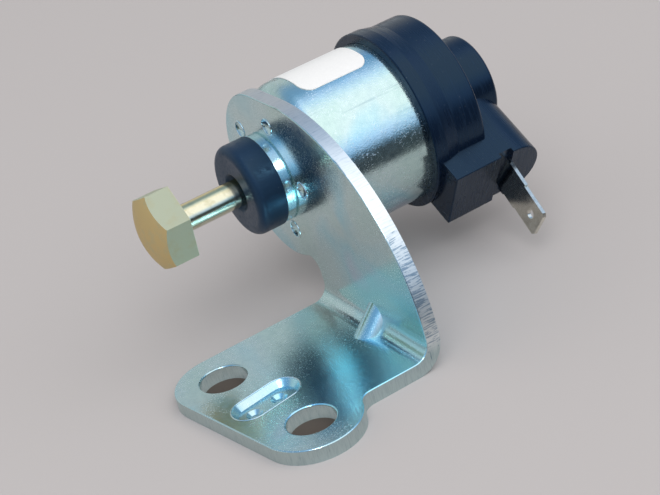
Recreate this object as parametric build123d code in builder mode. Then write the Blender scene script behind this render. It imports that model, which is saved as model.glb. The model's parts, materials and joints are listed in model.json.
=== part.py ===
from build123d import *
from math import cos, radians, sin, sqrt, tan
import os

# Idle stop solenoid on a folded bracket, in millimetres.
# The origin is the centre of the foot's first bolt hole, at the underside of the foot.
# +X runs along the solenoid's axis from the brass tip to the connector, and +Z is up from the foot.

# Bracket sheet, its foot and its two bolt holes
sheet = 3.0
bend_radius = 3.3
hole_radius = 4.76
hole_roll = 0.3
hole_spacing = 27.7
hole_slant = 8.8
foot_corner = 9.9
foot_side = 28.5
lobe_blend = 3.0

# Upright plate, measured from the solenoid's axis
plate_front = 30.0
axis_y = 19.8
axis_z = 27.9
disc_margin = 0.3
neck_blend = 3.0
side_straight = 20.0
shoulder_out = 34.0
shoulder_up = 9.2
top_flat = 9.0

# Pressed details of the bracket
emboss_length = 15.0
emboss_width = 7.8
emboss_depth = 1.35
emboss_draft = 40
punch_radius = 1.65
punch_floor_radius = 0.9
punch_depth = 0.7
punch_along = -0.44
punch_across = -0.3
punch_gap = 5.92
dart_leg = 5.4
dart_radius = 2.9
dart_dent = 1.7
dart_y = -10.1
stake_count = 5
stake_circle = 12.3
stake_start = 38.4
stake_shift_y = -0.38
stake_shift_z = 0.62
stake_radius = 1.75
stake_depth = 0.9
edge_roll = 0.3

# Steel can
can_radius = 17.5
can_wall = 1.2
can_shoulder = 4.5
crimp_lap = 2.9

# Nose bush, which is also the front pole, and the boot in front of it
collar_radius = 9.5
collar_length = 2.13
collar_groove = 0.3
shank_radius = 8.0
staked_rim = 0.7
staked_radius = 8.6
pole_end = 10.0
boot_radius = 9.7
boot_length = 6.3
boot_edge = 1.8
boot_rear_edge = 0.3
boot_dish_radius = 4.1
boot_dish = 1.5
boot_dish_edge = 0.6
boot_neck_radius = 6.0
boot_neck = 1.4

# Brass tip screw
head_flats = 14.8
head_thick = 5.2
head_turn = 39.2
head_crown = 2.6
tip_reach = 20.0
rod_radius = 2.85
rod_way = 0.3
thread_radius = 2.6
thread_length = 12.0
thread_point = 0.5
tap_past_screw = 0.6

# Armature, its guide tube and its return spring
stroke = 5.0
stroke_spare = 0.15
armature_radius = 5.97
armature_length = 25.0
armature_edge = 0.5
spring_bore_radius = 3.6
spring_bore_depth = 10.5
spring_radius = 2.9
spring_wire = 0.35
spring_turns = 9
seat_thick = 0.5
seat_hole = 1.2
tube_wall = 0.5
tube_past_plug = 0.8
plug_thick = 3.0
plug_edge = 0.4
pellet_radius = 1.0
pellet_gap = 0.02
pellet_length = 2.4
stop_thick = 0.5

# Bobbin, winding and flux plate
bobbin_length = 22.0
bobbin_wall = 1.1
flange_gap = 0.7
flange_thick = 1.2
flange_bevel = 1.5
coil_below_flange = 1.2
wrap_thick = 0.3
front_washer_thick = 0.8
front_washer_gap = 0.2
flux_thick = 2.5
lead_radius = 0.5
sleeve_wall = 0.7
sleeve_length = 4.5
solder_radius = 1.5
solder_height = 1.0
solder_slope = 30

# Moulded cap: collar round the can, boss over the tube, and connector block
cap_overlap = 3.6
lip_wall = 1.9
lip_length = 2.9
neck_wall = 1.25
neck_run = 3.1
cap_back = 7.6
cap_edge = 0.7
cap_ledge = 2.5
cap_cavity = 3.5
cavity_open = 1.0
boss_radius = 10.1
boss_length = 9.8
boss_edge = 0.8
boss_wall = 3.6
seal_thick = 1.4
seal_width = 2.0
block_turn = 33.5
block_reach = 23.4
block_front = 1.3
block_top = 5.8
block_bottom = 9.1
block_back = 10.3
block_edge = 0.3
slot_width = 3.0
slot_depth = 1.0
lead_hole_radius = 2.4
lead_hole_past = 1.2

# Spade terminal
blade_thick = 0.8
blade_width = 6.35
blade_root_width = 7.1
blade_length = 14.1
blade_tab = 7.9
blade_past_lead = 1.4
blade_corner = 0.6
blade_hole_radius = 1.0
blade_hole_back = 3.2
blade_height = -1.3
blade_lean = 7.4
blade_twist = 13
lead_below_coil = 1.9
blade_set_back = 2.0

# Plain white sticker on the can
label_start = 5.9
label_length = 15.5
label_width = 23.1
label_corner = 2.5
label_turn = 72.5
label_thick = 0.15
label_gap = 0.02

# Clearances
running = 0.08
thread_gap = 0.06
face_gap = 0.05
small_gap = 0.1
match = 0.001

# Radii that follow from the can
disc_radius = can_radius + disc_margin
crimp_radius = can_radius - crimp_lap
flange_radius = can_radius - can_wall - flange_gap
coil_radius = flange_radius - coil_below_flange
lip_radius = can_radius + lip_wall
neck_radius = can_radius + neck_wall
cap_cavity_radius = can_radius - cap_ledge

# Stations along the axis
can_front = plate_front + sheet
can_inside = can_front + can_wall
collar_front = plate_front - collar_length
boot_front = collar_front - boot_length
bobbin_front = can_inside + front_washer_thick
bobbin_back = bobbin_front + bobbin_length
flux_front = bobbin_back + small_gap
flux_back = flux_front + flux_thick
can_back = flux_back + can_wall
cap_seat = can_back + seal_thick
cap_front = can_back - cap_overlap
lip_back = cap_front + lip_length
cap_rear = cap_seat + cap_back
boss_end = cap_rear + boss_length
pole_back = plate_front + pole_end
armature_front = pole_back + stop_thick + face_gap
armature_back = armature_front + armature_length
plug_front = armature_back + stroke + stroke_spare
tube_end = plug_front + plug_thick + tube_past_plug
head_back = collar_front - tip_reach
head_front = head_back - head_thick
crown_top = head_front - head_crown
screw_end = armature_front + thread_length
spring_floor = armature_back - spring_bore_depth
tube_radius = armature_radius + running
tube_outside = tube_radius + tube_wall
core_radius = tube_outside + small_gap
core_outside = core_radius + bobbin_wall

hole_1 = Vector(0, 0, 0)
hole_2 = Vector(hole_spacing * sin(radians(hole_slant)), -hole_spacing * cos(radians(hole_slant)), 0)
foot_end = Vector(-cos(radians(hole_slant)), -sin(radians(hole_slant)), 0) * foot_corner

solenoid_axis = Axis((0, axis_y, axis_z), (1, 0, 0))
profile_plane = Plane(origin=(0, axis_y, axis_z), x_dir=(1, 0, 0), z_dir=(0, -1, 0))


def across(x):
    # Plane square to the solenoid's axis, with its own X along Y and its own Y along Z
    return Plane(origin=(x, axis_y, axis_z), x_dir=(0, 1, 0), z_dir=(1, 0, 0))


# The connector block points sideways and down from the axis
block_out = Vector(0, -cos(radians(block_turn)), -sin(radians(block_turn)))
block_up = Vector(0, -sin(radians(block_turn)), cos(radians(block_turn)))
block_plane = Plane(origin=(0, axis_y, axis_z), x_dir=(1, 0, 0), z_dir=block_out)


def block_point(x, up, out):
    return Vector(x, axis_y, axis_z) + block_up * up + block_out * out


# Spots where the two leads leave the winding, in the plane across the axis
lead_out = coil_radius - lead_below_coil
lead_spot = block_out * lead_out + block_up * blade_height
live_spot = (lead_spot.Y, lead_spot.Z)
ground_spot = (-lead_spot.Y, -lead_spot.Z)


def write(piece, name):
    piece.part.label = name
    export_step(piece.part, "parts/" + name + ".step")


os.makedirs("parts", exist_ok=True)

# Bracket: foot, bend and upright plate from one folded sheet
bend_x = plate_front - bend_radius
bend_z = sheet + bend_radius
near_edge = -foot_side - axis_y
far_edge = foot_corner - axis_y
with BuildPart() as bracket:
    with BuildSketch() as foot_outline:
        with Locations(hole_1, hole_2):
            Circle(foot_corner)
        with BuildLine():
            Polyline(
                (0, foot_corner),
                (bend_x, foot_corner),
                (bend_x, -foot_side),
                (hole_2.X, -foot_side),
                hole_2 + foot_end,
                foot_end,
                close=True,
            )
        make_face()
        lobe_corner = foot_outline.vertices().sort_by_distance((hole_2.X + foot_corner, -foot_side, 0))[0]
        fillet(lobe_corner, lobe_blend)
    extrude(amount=sheet)
    with BuildSketch(Plane(origin=(bend_x, foot_corner, bend_z), x_dir=(1, 0, 0), z_dir=(0, -1, 0))):
        Circle(bend_radius + sheet)
        Circle(bend_radius, mode=Mode.SUBTRACT)
        Rectangle(bend_z, bend_z, align=(Align.MIN, Align.MAX), mode=Mode.INTERSECT)
    extrude(amount=foot_corner + foot_side)
    with BuildSketch(across(plate_front)) as plate_outline:
        Circle(disc_radius)
        with BuildLine():
            side = Line((near_edge, bend_z - axis_z), (near_edge, -side_straight))
            shoulder = TangentArc(side @ 1, (-shoulder_out, shoulder_up), tangent=side % 1)
            crown = TangentArc(shoulder @ 1, (-top_flat, disc_radius), tangent=shoulder % 1)
            Polyline(
                crown @ 1,
                (0, disc_radius),
                (0, 0),
                (far_edge, 0),
                (far_edge, bend_z - axis_z),
                side @ 0,
            )
        make_face()
    extrude(amount=sheet)
    # Blend where the far edge runs into the disc
    neck_drop = sqrt(disc_radius**2 - far_edge**2)
    corners = bracket.edges().filter_by(Axis.X).sort_by_distance(
        (plate_front + sheet / 2, foot_corner, axis_z - neck_drop)
    )
    fillet(corners[0], neck_blend)
    # Rolled edge that the blanking leaves all round the foot's top and the plate's front
    bend_length = foot_corner + foot_side
    rolled_faces = (
        bracket.faces().filter_by_position(Axis.Z, sheet, sheet)
        + bracket.faces().filter_by_position(Axis.X, plate_front, plate_front)
        + bracket.faces().filter_by(GeomType.CYLINDER).filter_by(
            lambda f: abs(f.radius - bend_radius) < match
        )
    )
    fillet(rolled_faces.edges().filter_by(lambda e: abs(e.length - bend_length) > match), edge_roll)
    # Stiffening dart pressed into the bend, with its dent outside
    ridge = Vector(plate_front - dart_leg / 2, dart_y, sheet + dart_leg / 2)
    inward = Vector(-1, 0, 1).normalized()
    along = Vector(1, 0, 1)
    dart_reach = dart_leg * 2
    with BuildPart(mode=Mode.PRIVATE) as dart:
        with BuildSketch(Plane(origin=ridge - inward * dart_radius, x_dir=(0, 1, 0), z_dir=along)):
            Circle(dart_radius)
        extrude(amount=dart_reach, both=True)
        with Locations((plate_front + sheet / 4, dart_y, sheet - sheet / 4)):
            Box(
                dart_reach,
                dart_reach,
                dart_reach,
                align=(Align.MAX, Align.CENTER, Align.MIN),
                mode=Mode.INTERSECT,
            )
    add(dart.part)
    with BuildSketch(Plane(origin=ridge - inward * (sheet + dart_dent), x_dir=(0, 1, 0), z_dir=along)):
        Circle(dart_dent)
    extrude(amount=dart_reach, both=True, mode=Mode.SUBTRACT)
    # Bolt holes, rolled over at the top by the punch
    with Locations(Plane.XY.offset(sheet)):
        with Locations(hole_1, hole_2):
            Hole(hole_radius, depth=sheet)
    circles = bracket.edges().filter_by(GeomType.CIRCLE)
    rims = circles.filter_by(lambda e: abs(e.radius - hole_radius) < match)
    fillet(rims.group_by(Axis.Z)[-1], hole_roll)
    # Clearance hole for the nose bush
    with BuildSketch(across(plate_front)):
        Circle(shank_radius + small_gap)
    extrude(amount=sheet, mode=Mode.SUBTRACT)
    # Long emboss midway between the bolt holes, with two punch marks in its floor
    emboss_plane = Plane(
        origin=(hole_1 + hole_2) * 0.5 + Vector(0, 0, sheet),
        x_dir=(cos(radians(hole_slant)), sin(radians(hole_slant)), 0),
        z_dir=(0, 0, 1),
    )
    with BuildSketch(emboss_plane):
        SlotOverall(emboss_length, emboss_width)
    extrude(amount=-emboss_depth, taper=emboss_draft, mode=Mode.SUBTRACT)
    with Locations(emboss_plane.offset(-emboss_depth - punch_depth / 2)):
        with Locations(
            (punch_along + punch_gap / 2, punch_across),
            (punch_along - punch_gap / 2, punch_across),
        ):
            Cone(punch_floor_radius, punch_radius, punch_depth, mode=Mode.SUBTRACT)
    # Round stake marks that hold the can to the plate
    stake_ball = (stake_radius**2 + stake_depth**2) / (2 * stake_depth)
    stake_plane = across(plate_front - stake_ball + stake_depth)
    with Locations(stake_plane * Location((stake_shift_y, stake_shift_z, 0))):
        with PolarLocations(stake_circle, stake_count, start_angle=stake_start):
            Sphere(stake_ball, mode=Mode.SUBTRACT)
write(bracket, "bracket")

# Can: a drawn steel cup whose open end is crimped over the flux plate
with BuildPart() as can:
    with BuildSketch(profile_plane) as can_section:
        with BuildLine():
            Polyline(
                (can_front, shank_radius + small_gap),
                (can_front, can_radius),
                (can_back, can_radius),
                (can_back, crimp_radius),
                (flux_back, crimp_radius),
                (flux_back, can_radius - can_wall),
                (can_inside, can_radius - can_wall),
                (can_inside, shank_radius + small_gap),
                close=True,
            )
        make_face()
        fillet(can_section.vertices().sort_by_distance((can_front, can_radius, 0))[0], can_shoulder)
        fillet(
            can_section.vertices().sort_by_distance((can_inside, can_radius - can_wall, 0))[0],
            can_shoulder - can_wall,
        )
        fillet(can_section.vertices().sort_by_distance((can_back, can_radius, 0))[0], can_wall)
    revolve(axis=solenoid_axis)
write(can, "can")

# Nose bush: collar outside, staked rim inside the can, then the front pole
with BuildPart() as nose_bush:
    with BuildSketch(profile_plane) as bush_section:
        with BuildLine():
            Polyline(
                (collar_front, boot_neck_radius + face_gap),
                (collar_front, collar_radius),
                (plate_front, collar_radius),
                (plate_front, shank_radius),
                (can_inside, shank_radius),
                (can_inside, staked_radius),
                (can_inside + staked_rim, staked_radius),
                (can_inside + staked_rim, armature_radius),
                (pole_back, armature_radius),
                (pole_back, rod_radius + rod_way),
                (collar_front + boot_neck + small_gap, rod_radius + rod_way),
                (collar_front + boot_neck + small_gap, boot_neck_radius + face_gap),
                close=True,
            )
        make_face()
        chamfer(bush_section.vertices().sort_by_distance((plate_front, collar_radius, 0))[0], collar_groove)
    revolve(axis=solenoid_axis)
write(nose_bush, "nose_bush")

# Boot: rubber wiper ring with a dished face, held by its neck in the collar
with BuildPart() as boot:
    with BuildSketch(profile_plane) as boot_section:
        with BuildLine():
            Polyline(
                (boot_front, boot_dish_radius),
                (boot_front, boot_radius),
                (collar_front, boot_radius),
                (collar_front, boot_neck_radius),
                (collar_front + boot_neck, boot_neck_radius),
                (collar_front + boot_neck, rod_radius + running),
                (boot_front + boot_dish, rod_radius + running),
                close=True,
            )
        make_face()
        for corner, round_radius in (
            ((boot_front, boot_radius, 0), boot_edge),
            ((collar_front, boot_radius, 0), boot_rear_edge),
            ((boot_front, boot_dish_radius, 0), boot_dish_edge),
        ):
            fillet(boot_section.vertices().sort_by_distance(corner)[0], round_radius)
    revolve(axis=solenoid_axis)
write(boot, "boot")

# Tip screw: hexagon head with a crowned face, plain rod and threaded shank in one piece of brass
head_corner = head_flats / 2 / cos(radians(30))
crown_ball = (head_corner**2 + head_crown**2) / (2 * head_crown)
with BuildPart() as tip_screw:
    with BuildSketch(across(crown_top)):
        RegularPolygon(head_flats / 2, 6, major_radius=False, rotation=head_turn)
    extrude(amount=head_crown + head_thick)
    with Locations((crown_top + crown_ball, axis_y, axis_z)):
        Sphere(crown_ball, mode=Mode.INTERSECT)
    with BuildSketch(across(head_back)):
        Circle(rod_radius)
    extrude(amount=armature_front - head_back)
    with BuildSketch(across(armature_front)):
        Circle(thread_radius)
    extrude(amount=thread_length)
    chamfer(tip_screw.faces().sort_by(Axis.X)[-1].edges(), thread_point)
write(tip_screw, "tip_screw")

# Armature: soft iron slug, tapped in front, bored for the spring behind
with BuildPart() as armature:
    with BuildSketch(profile_plane):
        with BuildLine():
            Polyline(
                (armature_front, thread_radius + thread_gap),
                (armature_front, armature_radius),
                (armature_back, armature_radius),
                (armature_back, spring_bore_radius),
                (spring_floor, spring_bore_radius),
                (spring_floor, 0),
                (screw_end + tap_past_screw, 0),
                (screw_end + tap_past_screw, thread_radius + thread_gap),
                close=True,
            )
        make_face()
    revolve(axis=solenoid_axis)
    chamfer(armature.edges().group_by(Axis.X)[-1].sort_by(SortBy.RADIUS)[-1], armature_edge)
    with BuildSketch(Plane(origin=(armature_front + thread_length / 2, axis_y, axis_z), z_dir=(0, 0, 1))):
        Circle(pellet_radius)
    extrude(amount=2 * armature_radius, mode=Mode.SUBTRACT)
write(armature, "armature")

# Nylon pellet that grips the screw's thread
pellet_foot = thread_radius + thread_gap + small_gap
with BuildPart() as lock_pellet:
    with BuildSketch(
        Plane(origin=(armature_front + thread_length / 2, axis_y, axis_z + pellet_foot), z_dir=(0, 0, 1))
    ):
        Circle(pellet_radius - pellet_gap)
    extrude(amount=pellet_length)
write(lock_pellet, "lock_pellet")

# Seat washer at the bottom of the spring's bore
with BuildPart() as spring_seat:
    with BuildSketch(across(spring_floor)):
        Circle(spring_bore_radius - small_gap)
        Circle(seat_hole, mode=Mode.SUBTRACT)
    extrude(amount=seat_thick)
write(spring_seat, "spring_seat")

# Return spring
spring_front = spring_floor + seat_thick + face_gap + spring_wire
spring_length = plug_front - face_gap - spring_wire - spring_front
with BuildPart() as return_spring:
    with BuildLine():
        coil_path = Helix(
            spring_length / spring_turns,
            spring_length,
            spring_radius,
            center=(spring_front, axis_y, axis_z),
            direction=(1, 0, 0),
        )
    with BuildSketch(Plane(origin=coil_path @ 0, z_dir=coil_path % 0)):
        Circle(spring_wire)
    sweep(path=coil_path, is_frenet=True)
write(return_spring, "return_spring")

# Stop washer between pole and armature
with BuildPart() as stop_washer:
    with BuildSketch(across(pole_back)):
        Circle(armature_radius - small_gap)
        Circle(rod_radius + rod_way, mode=Mode.SUBTRACT)
    extrude(amount=stop_thick)
write(stop_washer, "stop_washer")

# Brass guide tube over the pole and round the armature
tube_front = can_inside + staked_rim + small_gap
with BuildPart() as guide_tube:
    with BuildSketch(across(tube_front)):
        Circle(tube_outside)
        Circle(tube_radius, mode=Mode.SUBTRACT)
    extrude(amount=tube_end - tube_front)
write(guide_tube, "guide_tube")

# Plug that closes the tube behind the spring
with BuildPart() as tube_plug:
    with BuildSketch(across(plug_front)):
        Circle(armature_radius)
    extrude(amount=plug_thick)
    chamfer(tube_plug.faces().sort_by(Axis.X)[-1].edges(), plug_edge)
write(tube_plug, "tube_plug")

# Fibre washer between the can and the bobbin
with BuildPart() as front_washer:
    with BuildSketch(across(can_inside)):
        Circle(can_radius - can_shoulder)
        Circle(staked_radius + front_washer_gap, mode=Mode.SUBTRACT)
    extrude(amount=front_washer_thick)
write(front_washer, "front_washer")

# Bobbin with two flanges, the rear one drilled for the leads
with BuildPart() as bobbin:
    with BuildSketch(profile_plane):
        with BuildLine():
            Polyline(
                (bobbin_front, core_radius),
                (bobbin_front, flange_radius - flange_bevel),
                (bobbin_front + flange_thick, flange_radius),
                (bobbin_front + flange_thick, core_outside),
                (bobbin_back - flange_thick, core_outside),
                (bobbin_back - flange_thick, flange_radius),
                (bobbin_back, flange_radius),
                (bobbin_back, core_radius),
                close=True,
            )
        make_face()
    revolve(axis=solenoid_axis)
    with BuildSketch(across(bobbin_back - flange_thick)):
        with Locations(live_spot, ground_spot):
            Circle(lead_radius + small_gap)
    extrude(amount=flange_thick, mode=Mode.SUBTRACT)
write(bobbin, "bobbin")

# Winding, and the tape wrapped round it
winding_front = bobbin_front + flange_thick + face_gap
winding_length = bobbin_length - 2 * flange_thick - 2 * face_gap
with BuildPart() as winding:
    with BuildSketch(across(winding_front)):
        Circle(coil_radius)
        Circle(core_outside + face_gap, mode=Mode.SUBTRACT)
    extrude(amount=winding_length)
write(winding, "winding")

with BuildPart() as winding_tape:
    with BuildSketch(across(winding_front)):
        Circle(coil_radius + face_gap + wrap_thick)
        Circle(coil_radius + face_gap, mode=Mode.SUBTRACT)
    extrude(amount=winding_length)
write(winding_tape, "winding_tape")

# Flux plate that closes the magnetic circuit at the rear of the can
with BuildPart() as flux_plate:
    with BuildSketch(across(flux_front)):
        Circle(can_radius - can_wall - small_gap)
        Circle(core_radius, mode=Mode.SUBTRACT)
        with Locations(live_spot):
            Circle(lead_radius + sleeve_wall + 2 * face_gap, mode=Mode.SUBTRACT)
        with Locations(ground_spot):
            Circle(lead_radius + small_gap, mode=Mode.SUBTRACT)
    extrude(amount=flux_thick)
write(flux_plate, "flux_plate")

# Insulating sleeve round the live lead where it passes the flux plate
with BuildPart() as lead_sleeve:
    with BuildSketch(across(flux_front)):
        with Locations(live_spot):
            Circle(lead_radius + face_gap + sleeve_wall)
            Circle(lead_radius + face_gap, mode=Mode.SUBTRACT)
    extrude(amount=sleeve_length)
write(lead_sleeve, "lead_sleeve")

# Leads from the winding: live to the terminal, ground to the flux plate
lead_front = winding_front + winding_length + face_gap
terminal_x = cap_rear + blade_set_back
joint_x = terminal_x + (block_reach - lead_out) * tan(radians(blade_lean))
with BuildPart() as live_lead:
    with BuildSketch(across(lead_front)):
        with Locations(live_spot):
            Circle(lead_radius)
    extrude(amount=joint_x - solder_height - lead_front)
write(live_lead, "live_lead")

with BuildPart() as ground_lead:
    with BuildSketch(across(lead_front)):
        with Locations(ground_spot):
            Circle(lead_radius)
    extrude(amount=flux_back + solder_height / 2 - lead_front)
write(ground_lead, "ground_lead")

with BuildPart() as ground_solder:
    with BuildSketch(across(flux_back)):
        with Locations(ground_spot):
            Circle(solder_radius)
    extrude(amount=solder_height, taper=solder_slope)
    with BuildSketch(across(flux_back)):
        with Locations(ground_spot):
            Circle(lead_radius)
    extrude(amount=solder_height / 2, mode=Mode.SUBTRACT)
write(ground_solder, "ground_solder")

# Gasket between the crimped rim and the cap
with BuildPart() as gasket:
    with BuildSketch(across(can_back)):
        Circle(can_radius - can_wall - small_gap)
        Circle(can_radius - can_wall - small_gap - seal_width, mode=Mode.SUBTRACT)
    extrude(amount=seal_thick)
write(gasket, "gasket")

# Spade terminal: leans forward and is twisted a little about its length
backward = Vector(1, 0, 0)
blade_along = (block_out * cos(radians(blade_lean)) - backward * sin(radians(blade_lean))).normalized()
blade_tilt = block_up * cos(radians(blade_twist)) + backward * sin(radians(blade_twist))
blade_across = (blade_tilt - blade_along * blade_tilt.dot(blade_along)).normalized()
blade_inside = (block_reach - lead_out) / cos(radians(blade_lean)) + blade_past_lead
blade_plane = Plane(
    origin=block_point(terminal_x, blade_height, block_reach),
    x_dir=blade_along,
    z_dir=blade_along.cross(blade_across),
)


def blade_outline(extra):
    # Outline of the blade in its own plane, grown by a clearance
    root = blade_root_width / 2 + extra
    tab = blade_width / 2 + extra
    shoulder_at = blade_length - blade_tab + extra
    tip = blade_length + extra
    Polyline(
        (-blade_inside - extra, -tab),
        (-blade_inside - extra, tab),
        (-slot_depth, tab),
        (-slot_depth, root),
        (shoulder_at, root),
        (shoulder_at, tab),
        (tip - blade_corner, tab),
        (tip, tab - blade_corner),
        (tip, blade_corner - tab),
        (tip - blade_corner, -tab),
        (shoulder_at, -tab),
        (shoulder_at, -root),
        (-slot_depth, -root),
        (-slot_depth, -tab),
        close=True,
    )


with BuildPart() as terminal_blade:
    with BuildSketch(blade_plane):
        with BuildLine():
            blade_outline(0)
        make_face()
        with Locations((blade_length - blade_hole_back, 0)):
            Circle(blade_hole_radius, mode=Mode.SUBTRACT)
    extrude(amount=blade_thick / 2, both=True)
write(terminal_blade, "terminal_blade")

# Cap: collar, boss and connector block moulded as one
with BuildPart() as cap:
    with BuildSketch(profile_plane) as cap_section:
        with BuildLine():
            Polyline(
                (cap_front, 0),
                (cap_front, lip_radius),
                (lip_back, lip_radius),
                (lip_back + neck_run, neck_radius),
                (cap_rear, neck_radius),
                (cap_rear, boss_radius),
                (boss_end, boss_radius),
                (boss_end, 0),
                close=True,
            )
        make_face()
        fillet(cap_section.vertices().sort_by_distance((cap_front, lip_radius, 0))[0], cap_edge / 2)
        fillet(cap_section.vertices().sort_by_distance((cap_rear, neck_radius, 0))[0], cap_edge)
        fillet(cap_section.vertices().sort_by_distance((boss_end, boss_radius, 0))[0], boss_edge)
    revolve(axis=solenoid_axis)
    block_round = (block_top + block_bottom) / 2
    block_x = cap_rear + block_back - block_round
    with BuildSketch(block_plane) as block_section:
        with BuildLine():
            top = Line((cap_front + block_front, block_top), (block_x, block_top))
            back = ThreePointArc(
                top @ 1,
                (block_x + block_round, block_top - block_round),
                (block_x, -block_bottom),
            )
            Polyline(back @ 1, (cap_front + block_front, -block_bottom), top @ 0)
        make_face()
    extrude(amount=block_reach)
    block_end = cap.faces().filter_by(GeomType.PLANE).sort_by(Axis(block_plane.origin, block_out))[-1]
    fillet(block_end.edges(), block_edge)
    # Hollow for the can, the leads and the guide tube
    with BuildSketch(profile_plane):
        with BuildLine():
            Polyline(
                (cap_front - cavity_open, 0),
                (cap_front - cavity_open, can_radius + face_gap),
                (cap_seat, can_radius + face_gap),
                (cap_seat, cap_cavity_radius),
                (cap_seat + cap_cavity, cap_cavity_radius),
                (cap_seat + cap_cavity, tube_outside + small_gap),
                (boss_end - boss_wall, tube_outside + small_gap),
                (boss_end - boss_wall, 0),
                close=True,
            )
        make_face()
    revolve(axis=solenoid_axis, mode=Mode.SUBTRACT)
    # Way for the live lead to the foot of the blade
    with BuildSketch(across(cap_seat)):
        with Locations(live_spot):
            Circle(lead_hole_radius)
    extrude(amount=joint_x + lead_hole_past - cap_seat, mode=Mode.SUBTRACT)
    # Slot across the end of the block, and the slit that holds the blade
    with BuildSketch(block_plane.offset(block_reach - slot_depth)):
        with Locations((terminal_x + blade_thick, 0)):
            Rectangle(slot_width, 4 * block_bottom, align=(Align.MAX, Align.CENTER))
    extrude(amount=slot_depth, mode=Mode.SUBTRACT)
    with BuildSketch(blade_plane):
        with BuildLine():
            blade_outline(face_gap)
        make_face()
    extrude(amount=blade_thick / 2 + face_gap, both=True, mode=Mode.SUBTRACT)
write(cap, "cap")

# Solder that joins the live lead to the blade
with BuildPart() as live_solder:
    with BuildSketch(across(joint_x - solder_height)):
        with Locations(live_spot):
            Circle(solder_radius)
    extrude(amount=solder_height)
    add(terminal_blade.part, mode=Mode.SUBTRACT)
write(live_solder, "live_solder")

# Sticker on the can, bare
with BuildPart() as label:
    with BuildSketch(across(can_front + label_start)):
        Circle(can_radius + label_gap + label_thick)
        Circle(can_radius + label_gap, mode=Mode.SUBTRACT)
    extrude(amount=label_length)
    label_normal = Vector(0, cos(radians(label_turn)), sin(radians(label_turn)))
    label_middle = Vector(can_front + label_start + label_length / 2, axis_y, axis_z)
    with BuildSketch(Plane(origin=label_middle, x_dir=(1, 0, 0), z_dir=label_normal)):
        RectangleRounded(label_length, label_width, label_corner)
    extrude(amount=2 * can_radius, mode=Mode.INTERSECT)
write(label, "label")
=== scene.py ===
import json
import math

import bmesh
import bpy
from mathutils import Matrix, Vector


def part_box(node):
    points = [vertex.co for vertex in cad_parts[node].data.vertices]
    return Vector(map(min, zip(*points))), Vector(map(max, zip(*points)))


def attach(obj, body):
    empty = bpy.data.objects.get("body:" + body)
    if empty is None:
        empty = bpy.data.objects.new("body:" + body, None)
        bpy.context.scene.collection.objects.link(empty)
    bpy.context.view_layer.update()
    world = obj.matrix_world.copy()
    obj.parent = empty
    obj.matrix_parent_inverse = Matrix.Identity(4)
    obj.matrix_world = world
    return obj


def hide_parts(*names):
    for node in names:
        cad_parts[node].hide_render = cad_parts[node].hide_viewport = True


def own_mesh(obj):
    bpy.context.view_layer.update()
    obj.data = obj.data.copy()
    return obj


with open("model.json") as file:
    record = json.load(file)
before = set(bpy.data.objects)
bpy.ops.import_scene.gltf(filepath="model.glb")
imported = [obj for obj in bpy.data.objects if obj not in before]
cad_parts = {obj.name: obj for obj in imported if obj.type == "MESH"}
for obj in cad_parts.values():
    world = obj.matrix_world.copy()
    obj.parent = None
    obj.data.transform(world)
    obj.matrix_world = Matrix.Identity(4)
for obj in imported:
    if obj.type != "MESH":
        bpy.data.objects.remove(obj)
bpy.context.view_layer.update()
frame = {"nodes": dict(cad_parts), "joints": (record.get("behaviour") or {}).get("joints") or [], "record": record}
nodes = frame["nodes"]
scene = bpy.context.scene
mm = 0.001

# Where things lie in the frame, in metres
mounts = {mount["name"]: mount["pos_m"] for mount in frame["record"]["mounts"]}
axisY, axisZ = mounts["tip_crown"][1:]
nearHole, farHole = mounts["bolt_hole_1"], mounts["bolt_hole_2"]
sheetThick = 3.0 * mm
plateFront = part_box("bracket")[1][0] - sheetThick
bendTop = 6.5 * mm  # the plate is upright from here


# Small helpers for building node trees

noiseSpan = (0.3, 0.7)  # a noise texture seldom leaves these levels


def newMaterial(name):
    material = bpy.data.materials.new(name)
    material.use_nodes = True
    tree = material.node_tree
    tree.nodes.clear()
    output = tree.nodes.new("ShaderNodeOutputMaterial")
    shader = tree.nodes.new("ShaderNodeBsdfPrincipled")
    tree.links.new(shader.outputs["BSDF"], output.inputs["Surface"])
    return material, tree, shader


def newGroup(name, inputs, outputs):
    group = bpy.data.node_groups.new(name, "ShaderNodeTree")
    for label, kind, value in inputs:
        socket = group.interface.new_socket(label, in_out="INPUT", socket_type=kind)
        socket.default_value = value
    for label, kind in outputs:
        group.interface.new_socket(label, in_out="OUTPUT", socket_type=kind)
    return group, group.nodes.new("NodeGroupInput"), group.nodes.new("NodeGroupOutput")


def place(tree, group, **values):
    node = tree.nodes.new("ShaderNodeGroup")
    node.node_tree = group
    for label, value in values.items():
        feed(tree, node.inputs[label], value)
    return node.outputs


def feed(tree, socket, value):
    if isinstance(value, bpy.types.NodeSocket):
        tree.links.new(value, socket)
    elif isinstance(value, (int, float)) or len(value) == len(socket.default_value):
        socket.default_value = value
    else:
        socket.default_value = (*value, 1)


def objectPlace(tree):
    return tree.nodes.new("ShaderNodeTexCoord").outputs["Object"]


def objectNormal(tree):
    return tree.nodes.new("ShaderNodeTexCoord").outputs["Normal"]


def parts(tree, vector):
    node = tree.nodes.new("ShaderNodeSeparateXYZ")
    tree.links.new(vector, node.inputs[0])
    return node.outputs


def stretched(tree, vector, scale, turn=(0, 0, 0)):
    node = tree.nodes.new("ShaderNodeMapping")
    node.inputs["Scale"].default_value = scale
    node.inputs["Rotation"].default_value = turn
    tree.links.new(vector, node.inputs["Vector"])
    return node.outputs["Vector"]


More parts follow.
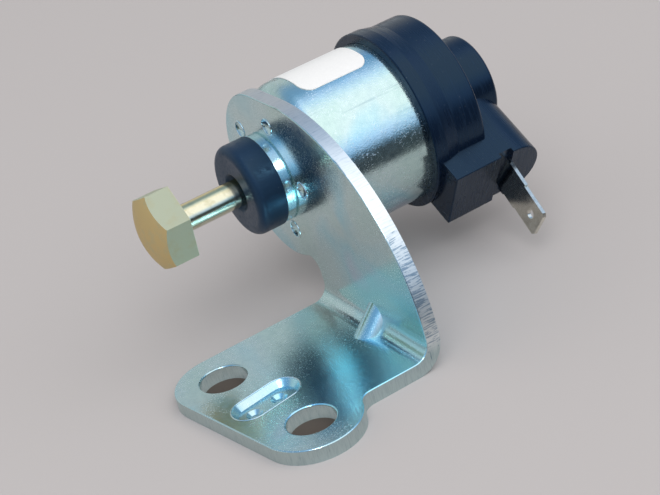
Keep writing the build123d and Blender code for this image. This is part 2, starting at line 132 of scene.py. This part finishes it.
def noise(tree, where, scale, detail=3.0, roughness=0.55, distortion=0.0):
    node = tree.nodes.new("ShaderNodeTexNoise")
    tree.links.new(where, node.inputs["Vector"])
    feed(tree, node.inputs["Scale"], scale)
    node.inputs["Detail"].default_value = detail
    node.inputs["Roughness"].default_value = roughness
    node.inputs["Distortion"].default_value = distortion
    return node.outputs["Fac"]


def ramp(tree, value, stops):
    node = tree.nodes.new("ShaderNodeValToRGB")
    elements = node.color_ramp.elements
    while len(elements) < len(stops):
        elements.new(0.5)
    for element, (level, colour) in zip(elements, stops):
        element.position = level
        element.color = (*colour, 1)
    tree.links.new(value, node.inputs["Fac"])
    return node.outputs["Color"]


def fade(tree, value, low, high, fromValue=0.0, toValue=1.0):
    node = tree.nodes.new("ShaderNodeMapRange")
    node.interpolation_type = "SMOOTHSTEP"
    tree.links.new(value, node.inputs["Value"])
    settings = {"From Min": low, "From Max": high, "To Min": fromValue, "To Max": toValue}
    for label, setting in settings.items():
        node.inputs[label].default_value = setting
    return node.outputs["Result"]


def mixColours(tree, factor, first, second, blend="MIX"):
    node = tree.nodes.new("ShaderNodeMix")
    node.data_type = "RGBA"
    node.blend_type = blend
    feed(tree, node.inputs["Factor"], factor)
    feed(tree, node.inputs[6], first)
    feed(tree, node.inputs[7], second)
    return node.outputs[2]


def tinted(tree, first, second, share=1.0):
    return mixColours(tree, share, first, second, "MULTIPLY")


def mixValues(tree, factor, first, second):
    node = tree.nodes.new("ShaderNodeMix")
    feed(tree, node.inputs["Factor"], factor)
    feed(tree, node.inputs[2], first)
    feed(tree, node.inputs[3], second)
    return node.outputs[0]


def maths(tree, operation, first, second=0.5):
    node = tree.nodes.new("ShaderNodeMath")
    node.operation = operation
    feed(tree, node.inputs[0], first)
    feed(tree, node.inputs[1], second)
    return node.outputs[0]


def vectorMaths(tree, operation, first, second):
    node = tree.nodes.new("ShaderNodeVectorMath")
    node.operation = operation
    tree.links.new(first, node.inputs[0])
    node.inputs[1].default_value = second
    return node.outputs["Value"]


def bump(tree, height, strength, depth):
    node = tree.nodes.new("ShaderNodeBump")
    node.inputs["Strength"].default_value = strength
    node.inputs["Distance"].default_value = depth
    tree.links.new(height, node.inputs["Height"])
    return node.outputs["Normal"]


# Zinc plating with a clear blue passivate: broad colour drifts, fine crystal flecks
passivateLook = dict(
    tints=[  # straw, green, silver, cyan, violet
        (0.26, (0.60, 0.71, 0.68)), (0.36, (0.54, 0.72, 0.70)), (0.48, (0.57, 0.73, 0.74)),
        (0.60, (0.44, 0.71, 0.79)), (0.74, (0.60, 0.67, 0.80)),
    ],
    fleck=(0.80, 0.92, 0.96),
    fleckRough=0.45,
    fleckLevels=(0.59, 0.68),
    patchScale=110.0,  # the flecks lie in patches
    patchLevels=(0.38, 0.56),
    calm=0.3,  # what is left of the crystals' height between the patches
    cloudScale=700.0,
    cloudShades=[(0.30, (0.90, 0.92, 0.93)), (0.60, (1, 1, 1))],
    rough=0.23,
    smooth=0.14,
)


def makePassivate():
    look = passivateLook
    tree, source, sink = newGroup(
        "passivate",
        [
            ("Vector", "NodeSocketVector", (0, 0, 0)),
            ("Drift", "NodeSocketFloat", 60.0),
            ("Speck", "NodeSocketFloat", 3500.0),
        ],
        [("Color", "NodeSocketColor"), ("Roughness", "NodeSocketFloat"), ("Height", "NodeSocketFloat")],
    )
    where = source.outputs["Vector"]
    drift = noise(tree, where, source.outputs["Drift"], detail=2.0, roughness=0.5, distortion=0.8)
    crystals = noise(tree, where, source.outputs["Speck"], detail=2.0, roughness=0.6)
    patches = fade(tree, noise(tree, where, look["patchScale"], roughness=0.6), *look["patchLevels"])
    flecks = maths(tree, "MULTIPLY", fade(tree, crystals, *look["fleckLevels"]), patches)
    cloud = noise(tree, where, look["cloudScale"], detail=4.0, roughness=0.7)
    plated = tinted(tree, ramp(tree, drift, look["tints"]), ramp(tree, cloud, look["cloudShades"]))
    tree.links.new(mixColours(tree, flecks, plated, look["fleck"]), sink.inputs["Color"])
    finish = fade(tree, cloud, *noiseSpan, look["rough"], look["smooth"])
    tree.links.new(mixValues(tree, flecks, finish, look["fleckRough"]), sink.inputs["Roughness"])
    between = maths(tree, "MULTIPLY", crystals, look["calm"])
    tree.links.new(mixValues(tree, patches, between, crystals), sink.inputs["Height"])
    return tree


passivate = makePassivate()


# Cut edges of the sheet: bright streaks along the punch's stroke, broken by dull torn ones
cutEdgeLook = dict(
    tones=[  # bright, dull twice, torn
        (0.34, (0.92, 0.94, 0.93)), (0.50, (0.80, 0.84, 0.84)),
        (0.56, (0.80, 0.84, 0.84)), (0.62, (0.34, 0.44, 0.52)),
    ],
    footTint=(0.57, 0.66, 0.66),
    # painted shade: a darker tone on the upward-facing cut edges of the plate
    topEdgeShade=(0.74, 0.72, 0.72),
    topFacing=(0.80, 0.97),
    sideFacing=(0.25, 0.50),  # a normal this far off the sheet's plane is no edge
    streakScale=3200.0,
    streakPull=0.12,
    tornMiddle=(31 * mm, -27 * mm, 16 * mm),  # the streaks are deepest round here
    tornReach=(7 * mm, 17 * mm),
    tornDepth=0.06,
    calm=0.12,  # how much of the streaks is gone elsewhere
    calmHeight=0.25,
    flatHeight=0.5,
)
boltHoleReach = (5.1 * mm, 5.5 * mm)  # their walls are smoother than the other cut edges


def nearBoltHoles(tree, where):
    flat = stretched(tree, where, (1, 1, 0))
    first, second = (vectorMaths(tree, "DISTANCE", flat, middle) for middle in (nearHole, farHole))
    return fade(tree, maths(tree, "MINIMUM", first, second), *boltHoleReach, 1.0, 0.0)


def makeCutEdge():
    look = cutEdgeLook
    tree, source, sink = newGroup(
        "cutEdge",
        [("Vector", "NodeSocketVector", (0, 0, 0)), ("Normal", "NodeSocketVector", (0, 0, 1))],
        [("Mask", "NodeSocketFloat"), ("Color", "NodeSocketColor"), ("Height", "NodeSocketFloat")],
    )
    where = source.outputs["Vector"]
    facing = parts(tree, source.outputs["Normal"])
    upright = fade(tree, parts(tree, where)["Z"], sheetThick, bendTop)
    pull = look["streakPull"]
    flatness = mixValues(tree, upright, *(maths(tree, "ABSOLUTE", facing[axis]) for axis in ("Z", "X")))
    streaks = mixValues(tree, upright, *(
        noise(tree, stretched(tree, where, scale), look["streakScale"], roughness=0.65)
        for scale in ((1, 1, pull), (pull, 1, 1))
    ))
    tree.links.new(fade(tree, flatness, *look["sideFacing"], 1.0, 0.0), sink.inputs["Mask"])

    away = vectorMaths(tree, "DISTANCE", where, look["tornMiddle"])
    torn = fade(tree, away, *look["tornReach"], look["tornDepth"], -look["calm"])
    colour = ramp(tree, maths(tree, "ADD", streaks, torn), look["tones"])
    onFoot = maths(tree, "SUBTRACT", 1.0, upright)
    colour = mixColours(tree, onFoot, colour, tinted(tree, colour, look["footTint"]))
    # painted shade on the upright plate's upward-facing cut edges
    onTop = maths(tree, "MULTIPLY", upright, fade(tree, facing["Z"], *look["topFacing"]))
    colour = mixColours(tree, onTop, colour, tinted(tree, colour, look["topEdgeShade"]))
    tree.links.new(colour, sink.inputs["Color"])

    depth = fade(tree, torn, -look["calm"], 0.0, look["calmHeight"], 1.0)
    tree.links.new(mixValues(tree, depth, look["flatHeight"], streaks), sink.inputs["Height"])
    return tree


cutEdge = makeCutEdge()


# Bracket. The plating is bluer and brighter round the bend's corner, and the frosted cyan stripe on the foot is a
# painted reflection of the light that the plate throws there, which the glint lamp also throws
bracketLook = dict(
    drift=38.0,
    speck=3600.0,
    edgeRough=0.46,
    holeRough=0.20,
    edgeHeight=0.5,
    bump=(0.16, 0.10 * mm),
    # a bluer, brighter patch of the plating round the bend's corner
    pool=dict(
        middle=(17 * mm, -21 * mm, 3 * mm),
        reach=(5 * mm, 25 * mm),
        tone=(0.42, 0.86, 1.0),
        strength=0.75,
        roughness=0.19,
    ),
    # painted reflection: a cyan stripe standing for the light the plate throws on the foot
    reflectStripe=dict(
        turn=math.radians(22.1),  # brings the stripe along Y
        middle=dict(X=21.5 * mm, Y=-9.1 * mm),
        reach=dict(X=(0.2 * mm, 4.2 * mm), Y=(8 * mm, 17 * mm)),
        top=(3.1 * mm, 3.6 * mm),
        tone=(0.36, 0.88, 1.0),
        strength=0.5,
        frost=0.15,
        roughness=0.22,
        grain=420.0,
        breakUp=(0.34, 0.62),  # the noise levels between which it thins out
        thinnest=0.35,
    ),
)


def reflectStripeMask(tree, where):
    look = bracketLook["reflectStripe"]
    turned = parts(tree, stretched(tree, where, (1, 1, 1), (0, 0, look["turn"])))
    mask = fade(tree, turned["Z"], *look["top"], 1.0, 0.0)
    for axis, middle in look["middle"].items():
        off = maths(tree, "ABSOLUTE", maths(tree, "SUBTRACT", turned[axis], middle))
        mask = maths(tree, "MULTIPLY", mask, fade(tree, off, *look["reach"][axis], 1.0, 0.0))
    grain = noise(tree, where, look["grain"], detail=4.0, roughness=0.7)
    return maths(tree, "MULTIPLY", mask, fade(tree, grain, *look["breakUp"], look["thinnest"], 1.0))


def zincSheet():
    look, pool, reflectStripe = bracketLook, bracketLook["pool"], bracketLook["reflectStripe"]
    material, tree, shader = newMaterial("zincSheet")
    where = objectPlace(tree)
    plating = place(tree, passivate, Vector=where, Drift=look["drift"], Speck=look["speck"])
    edge = place(tree, cutEdge, Vector=where, Normal=objectNormal(tree))
    pooled = fade(
        tree, vectorMaths(tree, "DISTANCE", where, pool["middle"]), *pool["reach"], pool["strength"], 0.0
    )
    onReflectStripe = reflectStripeMask(tree, where)

    plated = mixColours(tree, pooled, plating["Color"], pool["tone"])
    # the stripe's painted reflection goes into the plating's colour
    plated = mixColours(tree, maths(tree, "MULTIPLY", onReflectStripe, reflectStripe["strength"]), plated, reflectStripe["tone"])
    tree.links.new(mixColours(tree, edge["Mask"], plated, edge["Color"]), shader.inputs["Base Color"])

    finish = mixValues(tree, pooled, plating["Roughness"], pool["roughness"])
    finish = mixValues(tree, onReflectStripe, finish, reflectStripe["roughness"])
    punched = mixValues(tree, nearBoltHoles(tree, where), look["edgeRough"], look["holeRough"])
    tree.links.new(mixValues(tree, edge["Mask"], finish, punched), shader.inputs["Roughness"])

    streaks = maths(tree, "MULTIPLY", edge["Height"], look["edgeHeight"])
    height = mixValues(tree, edge["Mask"], plating["Height"], streaks)
    tree.links.new(bump(tree, height, *look["bump"]), shader.inputs["Normal"])
    tree.links.new(mixValues(tree, onReflectStripe, 1.0, 1.0 - reflectStripe["frost"]), shader.inputs["Metallic"])
    return material


canLook = dict(
    drift=45.0,
    speck=2600.0,
    drawScale=650.0,
    drawPull=0.05,
    drawMarks=[(0.60, (1, 1, 1)), (0.72, (0.62, 0.68, 0.74))],  # darker where the die dragged
    markShare=0.6,
    bump=(0.30, 0.10 * mm),
)


def zincCan():
    look = canLook
    material, tree, shader = newMaterial("zincCan")
    where = objectPlace(tree)
    plating = place(tree, passivate, Vector=where, Drift=look["drift"], Speck=look["speck"])
    drawn = noise(tree, stretched(tree, where, (look["drawPull"], 1, 1)), look["drawScale"], roughness=0.7)
    marks = ramp(tree, drawn, look["drawMarks"])
    tree.links.new(tinted(tree, plating["Color"], marks, look["markShare"]), shader.inputs["Base Color"])
    tree.links.new(plating["Roughness"], shader.inputs["Roughness"])
    tree.links.new(bump(tree, plating["Height"], *look["bump"]), shader.inputs["Normal"])
    shader.inputs["Metallic"].default_value = 1.0
    return material


collarLook = dict(
    drift=120.0,
    speck=4200.0,
    paleness=0.55,
    turnScale=5200.0,
    turnPull=0.02,
    roughness=(0.12, 0.24),
    bump=(0.12, 0.05 * mm),
)


def zincCollar():
    look = collarLook
    pull = look["turnPull"]
    material, tree, shader = newMaterial("zincCollar")
    where = objectPlace(tree)
    plating = place(tree, passivate, Vector=where, Drift=look["drift"], Speck=look["speck"])
    turned = noise(tree, stretched(tree, where, (1, pull, pull)), look["turnScale"], detail=2.0)
    pale = mixColours(tree, look["paleness"], plating["Color"], passivateLook["fleck"])
    tree.links.new(pale, shader.inputs["Base Color"])
    tree.links.new(fade(tree, turned, *noiseSpan, *look["roughness"]), shader.inputs["Roughness"])
    tree.links.new(bump(tree, turned, *look["bump"]), shader.inputs["Normal"])
    shader.inputs["Metallic"].default_value = 1.0
    return material


# Turned brass under a pale plating flash: the crowned end is worn to the bare metal
brassLook = dict(
    rod=(0.74, 0.72, 0.56),
    rodTopShading=(0.84, 0.66, 0.32),  # painted golden shading along the upper side of the rod
    topFacing=(0.70, 0.95),
    topShare=0.8,
    head=(0.50, 0.52, 0.38),
    headBack=(7.77 * mm, 7.97 * mm),  # where the hexagon ends and the rod starts
    headRough=0.58,
    headMetal=0.6,  # the head is dulled
    bare=(0.62, 0.47, 0.22),
    crownFacing=(-0.8, -0.6),
    stain=(0.50, 0.46, 0.28),
    stainLevels=(0.48, 0.72),
    stainShare=0.5,
    cloudScale=420.0,
    lineScale=3800.0,
    linePull=0.06,
    roughness=(0.15, 0.21),
    bump=(0.12, 0.04 * mm),
)


def turnedBrass():
    look = brassLook
    pull = look["linePull"]
    material, tree, shader = newMaterial("turnedBrass")
    where = objectPlace(tree)
    facing = parts(tree, objectNormal(tree))
    cloud = noise(tree, where, look["cloudScale"], detail=4.0, roughness=0.6)
    lines = noise(tree, stretched(tree, where, (1, pull, pull)), look["lineScale"], detail=2.0)
    onHead = fade(tree, parts(tree, where)["X"], *look["headBack"], 1.0, 0.0)

    # painted golden shading on the rod's upward-facing side
    rod = mixColours(
        tree, fade(tree, facing["Z"], *look["topFacing"], 0.0, look["topShare"]), look["rod"], look["rodTopShading"]
    )
    flash = mixColours(tree, onHead, rod, look["head"])
    body = mixColours(tree, fade(tree, facing["X"], *look["crownFacing"], 1.0, 0.0), flash, look["bare"])
    stained = fade(tree, cloud, *look["stainLevels"], 0.0, look["stainShare"])
    tree.links.new(mixColours(tree, stained, body, look["stain"]), shader.inputs["Base Color"])

    rodRough = fade(tree, lines, *noiseSpan, *look["roughness"])
    tree.links.new(mixValues(tree, onHead, rodRough, look["headRough"]), shader.inputs["Roughness"])
    tree.links.new(bump(tree, mixValues(tree, onHead, lines, cloud), *look["bump"]), shader.inputs["Normal"])
    tree.links.new(mixValues(tree, onHead, 1.0, look["headMetal"]), shader.inputs["Metallic"])
    return material


# Black mouldings: scuffs, which run round the cap, dust and a soft blue sheen painted into their reflections
blackLook = dict(
    scuffScale=1300.0,
    scuffLevels=(0.55, 0.80),
    scuffShare=0.55,
    scuffRoughLevels=(0.45, 0.75),
    scuffRough=0.22,
    cloudScale=110.0,
    dust=(0.10, 0.12, 0.14),
    dustScale=2300.0,
    dustLevels=(0.74, 0.80),
    dustShare=0.5,
    sheen=(0.36, 0.68, 1.0),
    bumpDepth=0.05 * mm,
)
bootLook = dict(
    colour=(0.010, 0.023, 0.048),
    scuff=(0.02, 0.045, 0.085),
    roughness=(0.30, 0.42),
    drag=(1, 1, 1),
    grain=2600.0,
    bump=0.12,
)
capLook = dict(
    colour=(0.003, 0.008, 0.022),
    scuff=(0.012, 0.030, 0.068),
    roughness=(0.18, 0.28),
    drag=(1.6, 0.12, 0.12),
    grain=1800.0,
    bump=0.10,
)


def blackMaterial(name, own):
    look = blackLook
    material, tree, shader = newMaterial(name)
    where = objectPlace(tree)
    dragged = noise(tree, stretched(tree, where, own["drag"]), look["scuffScale"], detail=4.0, roughness=0.7)
    scuffed = fade(tree, dragged, *look["scuffLevels"], 0.0, look["scuffShare"])
    dusty = fade(
        tree, noise(tree, where, look["dustScale"], detail=1.0), *look["dustLevels"], 0.0, look["dustShare"]
    )
    base = mixColours(tree, scuffed, own["colour"], own["scuff"])
    tree.links.new(mixColours(tree, dusty, base, look["dust"]), shader.inputs["Base Color"])

    cloudy = fade(tree, noise(tree, where, look["cloudScale"]), *noiseSpan, *own["roughness"])
    rubbed = fade(tree, dragged, *look["scuffRoughLevels"], 0.0, look["scuffRough"])
    tree.links.new(maths(tree, "ADD", cloudy, rubbed), shader.inputs["Roughness"])
    fine = noise(tree, where, own["grain"])
    tree.links.new(bump(tree, fine, own["bump"], look["bumpDepth"]), shader.inputs["Normal"])
    # painted blue tint in the reflections of the black parts
    shader.inputs["Specular Tint"].default_value = (*look["sheen"], 1)
    return material


# The other pieces have a fine grain in their colour and gloss, and most are inside the can
plainLook = dict(roughSpread=0.15, bump=(0.10, 0.10 * mm))
iron = dict(colour=(0.45, 0.46, 0.47), roughness=0.35, metallic=1.0)
brass = dict(colour=(0.70, 0.55, 0.26), metallic=1.0)
copper = dict(colour=(0.62, 0.25, 0.12), roughness=0.30, metallic=0.8)
solder = dict(colour=(0.62, 0.63, 0.64), roughness=0.30, metallic=1.0)
plainFinishes = {
    "terminal_blade": dict(
        name="tinnedBlade", colour=(0.70, 0.68, 0.60), roughness=0.20, metallic=1.0, grain=1200.0
    ),
    "label": dict(
        name="paperLabel", colour=(0.84, 0.84, 0.84), roughness=0.50, grain=2500.0, variation=0.02
    ),
    "armature": dict(name="softIron", **iron),
    "tube_plug": dict(name="plugSteel", **iron),
    "flux_plate": dict(name="fluxSteel", colour=(0.48, 0.49, 0.50), roughness=0.40, metallic=1.0),
    "spring_seat": dict(name="washerSteel", colour=(0.50, 0.52, 0.54), roughness=0.35, metallic=1.0),
    "return_spring": dict(name="springWire", colour=(0.35, 0.36, 0.38), roughness=0.30, metallic=1.0),
    "stop_washer": dict(name="stopBrass", roughness=0.30, **brass),
    "guide_tube": dict(name="tubeBrass", roughness=0.25, **brass),
    "lock_pellet": dict(name="nylonPellet", colour=(0.10, 0.22, 0.55), roughness=0.45),
    "front_washer": dict(name="redFibre", colour=(0.42, 0.16, 0.10), roughness=0.60),
    "bobbin": dict(name="naturalNylon", colour=(0.75, 0.72, 0.62), roughness=0.50),
    "winding": dict(name="enamelledCopper", **copper),
    "winding_tape": dict(name="yellowTape", colour=(0.80, 0.68, 0.22), roughness=0.35),
    "lead_sleeve": dict(name="whiteSleeve", colour=(0.85, 0.85, 0.80), roughness=0.50),
    "live_lead": dict(name="liveCopper", **copper),
    "ground_lead": dict(name="groundCopper", **copper),
    "live_solder": dict(name="liveSolder", **solder),
    "ground_solder": dict(name="groundSolder", **solder),
    "gasket": dict(name="gasketRubber", colour=(0.03, 0.03, 0.03), roughness=0.60),
}


def plainMaterial(name, colour, roughness, metallic=0.0, grain=700.0, variation=0.12):
    spread = plainLook["roughSpread"]
    material, tree, shader = newMaterial(name)
    value = noise(tree, objectPlace(tree), grain)
    darker = tuple(channel * (1 - variation) for channel in colour)
    lighter = tuple(min(1.0, channel * (1 + variation)) for channel in colour)
    tree.links.new(ramp(tree, value, list(zip(noiseSpan, (darker, lighter)))), shader.inputs["Base Color"])
    finish = fade(tree, value, *noiseSpan, roughness * (1 - spread), roughness * (1 + spread))
    tree.links.new(finish, shader.inputs["Roughness"])
    shader.inputs["Metallic"].default_value = metallic
    tree.links.new(bump(tree, value, *plainLook["bump"]), shader.inputs["Normal"])
    return material


finishes = {
    "bracket": zincSheet(),
    "can": zincCan(),
    "nose_bush": zincCollar(),
    "boot": blackMaterial("bootRubber", bootLook),
    "cap": blackMaterial("blackMoulding", capLook),
    "tip_screw": turnedBrass(),
    **{piece: plainMaterial(**look) for piece, look in plainFinishes.items()},
}


def dress(piece, material):
    piece.data.materials.clear()
    piece.data.materials.append(material)


for name, material in finishes.items():
    dress(nodes[name], material)
print("materials: set on", len(finishes), "nodes")


# Pieces that the solids lack

def quarterTurn(axis):
    return Matrix.Rotation(math.radians(90), 4, axis)


def only(kind, geometry):
    return [element for element in geometry if isinstance(element, kind)]


def addPiece(name, shape, material):
    bmesh.ops.recalc_face_normals(shape, faces=shape.faces)
    for face in shape.faces:
        face.smooth = True
    data = bpy.data.meshes.new(name)
    shape.to_mesh(data)
    shape.free()
    piece = bpy.data.objects.new(name, data)
    scene.collection.objects.link(piece)
    dress(piece, material)
    return piece


# The return spring closes up as the plunger comes in; its coil is built here as a piece of its own
slide = next(joint for joint in frame["joints"] if joint["name"] == "plunger_slide")
coilLook = dict(
    wire=0.35 * mm,
    wireSides=10,
    turns=9,
    stepsPerTurn=32,
    fixedEnd=slide["deforming_nodes"][0]["fixed_end_x_m"],
    travel=slide["range_m"][1],
)


def makeCoil():
    look = coilLook
    low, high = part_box("return_spring")
    radius = (high[1] - low[1]) / 2 - look["wire"]
    start, end = low[0] + look["wire"], high[0] - look["wire"]
    steps = look["turns"] * look["stepsPerTurn"]
    coil = bmesh.new()
    section = bmesh.ops.create_circle(
        coil, cap_ends=False, radius=look["wire"], segments=look["wireSides"],
        matrix=Matrix.Translation((start, axisY, axisZ + radius)) @ quarterTurn("Y") @ quarterTurn("X"),
    )
    bmesh.ops.spin(
        coil, geom=section["verts"] + coil.edges[:], cent=(start, axisY, axisZ), axis=(1, 0, 0),
        dvec=((end - start) / steps, 0, 0), angle=math.tau * look["turns"], steps=steps, use_merge=False,
    )
    bmesh.ops.holes_fill(coil, edges=[edge for edge in coil.edges if edge.is_boundary], sides=0)
    piece = addPiece("returnCoil", coil, finishes["return_spring"])
    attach(piece, "housing")
    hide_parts("return_spring")
    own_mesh(piece)


makeCoil()


# A burr stands up round each stake mark on the plate
stakeLook = dict(
    count=5,
    start=math.radians(38.4),
    circle=12.3 * mm,
    middle=(axisY - 0.38 * mm, axisZ + 0.62 * mm),
    rim=1.8 * mm,
    burr=0.16 * mm,
    sides=8,
    steps=40,
)


def makeStakeRims():
    look = stakeLook
    rims = bmesh.new()
    for index in range(look["count"]):
        angle = look["start"] + math.tau * index / look["count"]
        centre = Vector((
            plateFront,
            look["middle"][0] + look["circle"] * math.cos(angle),
            look["middle"][1] + look["circle"] * math.sin(angle),
        ))
        section = bmesh.ops.create_circle(
            rims, cap_ends=False, radius=look["burr"], segments=look["sides"],
            matrix=Matrix.Translation(centre + Vector((0, look["rim"], 0))),
        )
        edges = {edge for vert in section["verts"] for edge in vert.link_edges}
        bmesh.ops.spin(
            rims, geom=section["verts"] + list(edges), cent=centre, axis=(1, 0, 0),
            dvec=(0, 0, 0), angle=math.tau, steps=look["steps"], use_merge=True,
        )
    piece = addPiece("stakeRims", rims, finishes["nose_bush"])
    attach(piece, "housing")


makeStakeRims()


# A soft lip stands round the long emboss in the foot, where the press drew the sheet down
lipLook = dict(
    halfStraight=3.6 * mm,
    endRadius=3.9 * mm,
    roll=0.17 * mm,
    sunk=0.08 * mm,
    sides=8,
    steps=28,
    merge=0.001 * mm,
)


def makeEmbossLip():
    look = lipLook
    half = look["halfStraight"]
    lip = bmesh.new()
    section = bmesh.ops.create_circle(
        lip, cap_ends=False, radius=look["roll"], segments=look["sides"],
        matrix=Matrix.Translation((half, look["endRadius"], 0)) @ quarterTurn("Y"),
    )
    ring = section["verts"] + lip.edges[:]
    for end in (half, -half):
        turned = bmesh.ops.spin(
            lip, geom=ring, cent=(end, 0, 0), axis=(0, 0, 1), angle=-math.pi,
            steps=look["steps"], use_merge=False,
        )
        edges = only(bmesh.types.BMEdge, turned["geom_last"])
        drawn = bmesh.ops.extrude_edge_only(lip, edges=edges)["geom"]
        ring = only((bmesh.types.BMVert, bmesh.types.BMEdge), drawn)
        bmesh.ops.translate(lip, vec=(-2 * end, 0, 0), verts=only(bmesh.types.BMVert, ring))
    bmesh.ops.remove_doubles(lip, verts=lip.verts, dist=look["merge"])

    middle = (Vector(nearHole) + Vector(farHole)) / 2 + Vector((0, 0, sheetThick - look["sunk"]))
    slant = math.atan2(farHole[0], -farHole[1])  # the emboss lies square to the holes' line
    toFoot = Matrix.Translation(middle) @ Matrix.Rotation(slant, 4, "Z")
    bmesh.ops.transform(lip, matrix=toFoot, verts=lip.verts)
    piece = addPiece("embossLip", lip, finishes["nose_bush"])
    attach(piece, "housing")


makeEmbossLip()
print("pieces: return coil, stake rims, emboss lip")


# Floor, pale and plain. Painted shade makes it dark where it shows through the bolt holes, and metal mirrors it
# dark in front
floorLook = dict(
    half=1.5,
    colour=(0.50, 0.475, 0.475),
    roughness=0.9,
    darkFrom=(-52 * mm, -44 * mm),
    darkColour=(0.05, 0.06, 0.07),
    holeShade=(0.10, 0.085, 0.075),
)


def floorMaterial():
    look = floorLook
    material, tree, shader = newMaterial("paleFloor")
    where = objectPlace(tree)
    rays = tree.nodes.new("ShaderNodeLightPath").outputs
    inFront = fade(tree, parts(tree, where)["Y"], *look["darkFrom"], 1.0, 0.0)
    mirrored = maths(tree, "MULTIPLY", inFront, rays["Is Glossy Ray"])
    # painted shade on the floor under the bolt holes, seen by the camera only
    underHoles = maths(tree, "MULTIPLY", nearBoltHoles(tree, where), rays["Is Camera Ray"])
    colour = mixColours(tree, underHoles, look["colour"], look["holeShade"])
    tree.links.new(mixColours(tree, mirrored, colour, look["darkColour"]), shader.inputs["Base Color"])
    shader.inputs["Roughness"].default_value = look["roughness"]
    shader.inputs["Specular IOR Level"].default_value = 0.0
    return material


def makeFloor():
    shape = bmesh.new()
    bmesh.ops.create_grid(shape, x_segments=1, y_segments=1, size=floorLook["half"])
    data = bpy.data.meshes.new("floor")
    shape.to_mesh(data)
    shape.free()
    floor = bpy.data.objects.new("floor", data)
    scene.collection.objects.link(floor)
    dress(floor, floorMaterial())


makeFloor()


# Camera, solved from the photo: its place and its axes in the frame
cameraPose = dict(
    lens=95.43,
    sensor=36.0,
    nearest=0.01,
    place=Vector((-92.37, -280.43, 167.07)) * mm,
    right=Vector((0.8309, -0.4952, -0.2537)),
    up=Vector((0.4264, 0.2739, 0.8621)),
    back=Vector((-0.3574, -0.8245, 0.4387)),
)
cameraData = bpy.data.cameras.new("camera")
cameraData.lens = cameraPose["lens"]
cameraData.sensor_width = cameraPose["sensor"]
cameraData.clip_start = cameraPose["nearest"]
camera = bpy.data.objects.new("camera", cameraData)
scene.collection.objects.link(camera)
cameraTurn = Matrix([cameraPose[axis] for axis in ("right", "up", "back")]).transposed()
camera.matrix_world = Matrix.Translation(cameraPose["place"]) @ cameraTurn.to_4x4()
scene.camera = camera


# Lamps: a broad softbox that the metal doesn't mirror, and a small one that shines on the bracket alone,
# whose plate throws its glint on to the collar and the foot
lampAim = Vector((0.03, 0.0, 0.02))
softbox = dict(spot=Vector((-0.40, -0.75, 0.80)), size=1.0, power=4.6)
glint = dict(spot=Vector((-0.183, -0.411, 0.402)), size=0.15, power=0.8)


def addLamp(name, look, onlyOn=None):
    data = bpy.data.lights.new(name, "AREA")
    data.shape = "SQUARE"
    data.size = look["size"]
    data.energy = look["power"]
    lamp = bpy.data.objects.new(name, data)
    scene.collection.objects.link(lamp)
    lamp.location = look["spot"]
    lamp.rotation_mode = "QUATERNION"
    lamp.rotation_quaternion = (lampAim - look["spot"]).to_track_quat("-Z", "Y")
    lamp.visible_glossy = onlyOn is not None
    if onlyOn:
        lit = bpy.data.collections.new(name + "Lit")
        lit.objects.link(onlyOn)
        lamp.light_linking.receiver_collection = lit


addLamp("keySoftbox", softbox)
addLamp("collarGlint", glint, onlyOn=nodes["bracket"])


# Dome: white overhead towards the front, blue round that and grey behind. Dull surfaces get it without
# its colour, and the camera sees a plain backdrop
domeLook = dict(
    strength=1.33,
    fill=1.2,  # what dull surfaces get of it
    lean=(0.25, -0.55, 0.797),  # the way to its brightest part
    wallTop=0.10,
    wallDark=0.35,  # it is this dark at the horizon
    stops=[
        (0.24, (0.34, 0.38, 0.40)), (0.36, (0.47, 0.50, 0.51)), (0.50, (0.44, 0.46, 0.47)),
        (0.64, (0.22, 0.32, 0.46)), (0.76, (0.17, 0.30, 0.48)), (0.814, (0.24, 0.40, 0.60)),
        (0.873, (0.52, 0.66, 0.93)), (0.922, (0.74, 0.87, 1.0)), (0.96, (1.0, 1.0, 1.0)),
    ],
    backdrop=(0.41, 0.40, 0.40),
)


def makeDome():
    look = domeLook
    world = bpy.data.worlds.new("studio")
    scene.world = world
    world.use_nodes = True
    tree = world.node_tree
    background = tree.nodes["Background"]
    skyward = tree.nodes.new("ShaderNodeTexCoord").outputs["Generated"]
    rays = tree.nodes.new("ShaderNodeLightPath").outputs
    towards = vectorMaths(tree, "DOT_PRODUCT", skyward, look["lean"])
    towards = maths(tree, "ADD", maths(tree, "MULTIPLY", towards, 0.5), 0.5)  # -1 to 1 becomes 0 to 1
    wall = fade(tree, parts(tree, skyward)["Z"], 0.0, look["wallTop"], look["wallDark"], 1.0)
    glow = tinted(tree, ramp(tree, towards, look["stops"]), wall)
    grey = tree.nodes.new("ShaderNodeRGBToBW")
    tree.links.new(glow, grey.inputs[0])
    filled = maths(tree, "MULTIPLY", grey.outputs[0], look["fill"])
    glow = mixColours(tree, rays["Is Glossy Ray"], filled, glow)
    seen = mixColours(tree, rays["Is Camera Ray"], glow, look["backdrop"])
    tree.links.new(seen, background.inputs["Color"])
    background.inputs["Strength"].default_value = look["strength"]


makeDome()
scene.view_settings.view_transform = "Standard"
print("stage: floor, camera, lights")
